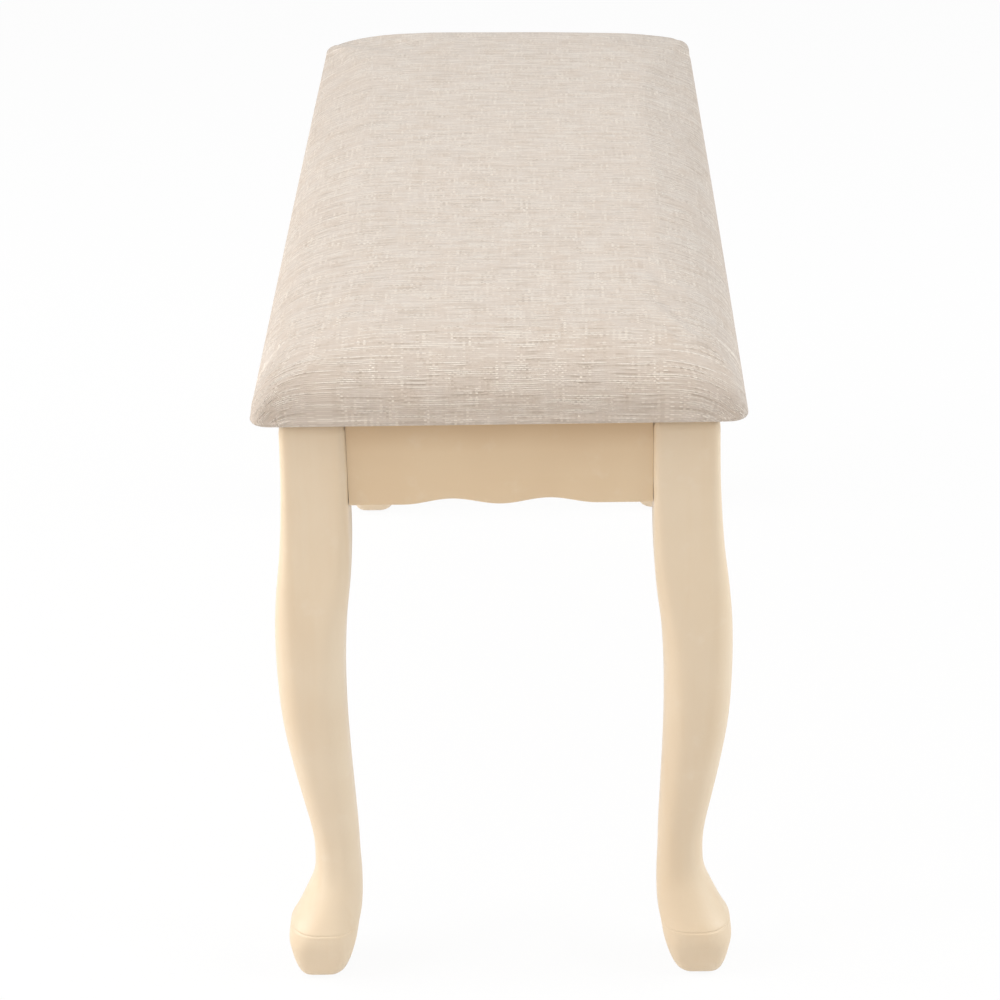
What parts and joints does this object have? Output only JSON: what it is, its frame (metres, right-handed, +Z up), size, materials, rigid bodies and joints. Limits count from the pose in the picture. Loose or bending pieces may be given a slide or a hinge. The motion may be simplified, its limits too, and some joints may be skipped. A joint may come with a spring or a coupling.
{
  "type": "upholstered vanity stool",
  "caption": "Long padded vanity stool with a fabric-covered seat, scalloped wooden aprons and cabriole legs with pad feet, for sitting at a dressing table.",
  "frame": {"origin": "on the floor, under the middle of the seat", "axes": "+Z up, +X along the long side of the seat, front towards -Y"},
  "size_m": [0.7024, 0.299, 0.458],
  "materials": {
    "lacquered_wood": "pale cream lacquer, satin",
    "raw_wood": "planed, unfinished",
    "plywood": "unfinished plywood",
    "zinc_steel": "zinc plated",
    "staple_wire": "galvanised wire",
    "foam": "open-cell foam",
    "slub_fabric": "beige slub weave",
    "dust_cloth": "black spun-bonded cloth",
    "glide_plastic": "moulded"
  },
  "bodies": {
    "root": {"leg_front_left": "lacquered_wood", "leg_front_right": "lacquered_wood", "leg_back_left": "lacquered_wood", "leg_back_right": "lacquered_wood", "end_rail_left": "lacquered_wood", "end_rail_right": "lacquered_wood", "side_rail_front": "lacquered_wood", "side_rail_back": "lacquered_wood", "rail_dowels": "raw_wood", "corner_block_front_left": "raw_wood", "corner_block_front_right": "raw_wood", "corner_block_back_left": "raw_wood", "corner_block_back_right": "raw_wood", "block_screws": "zinc_steel", "hanger_bolts": "zinc_steel", "bolt_washers": "zinc_steel", "wing_nuts": "zinc_steel", "seat_board": "plywood", "foam_pad": "foam", "seat_cover": "slub_fabric", "dust_cover": "dust_cloth", "cover_staples": "staple_wire", "seat_screws": "zinc_steel", "glide_front_left": "glide_plastic", "glide_front_right": "glide_plastic", "glide_back_left": "glide_plastic", "glide_back_right": "glide_plastic"}
  },
  "joints": []
}
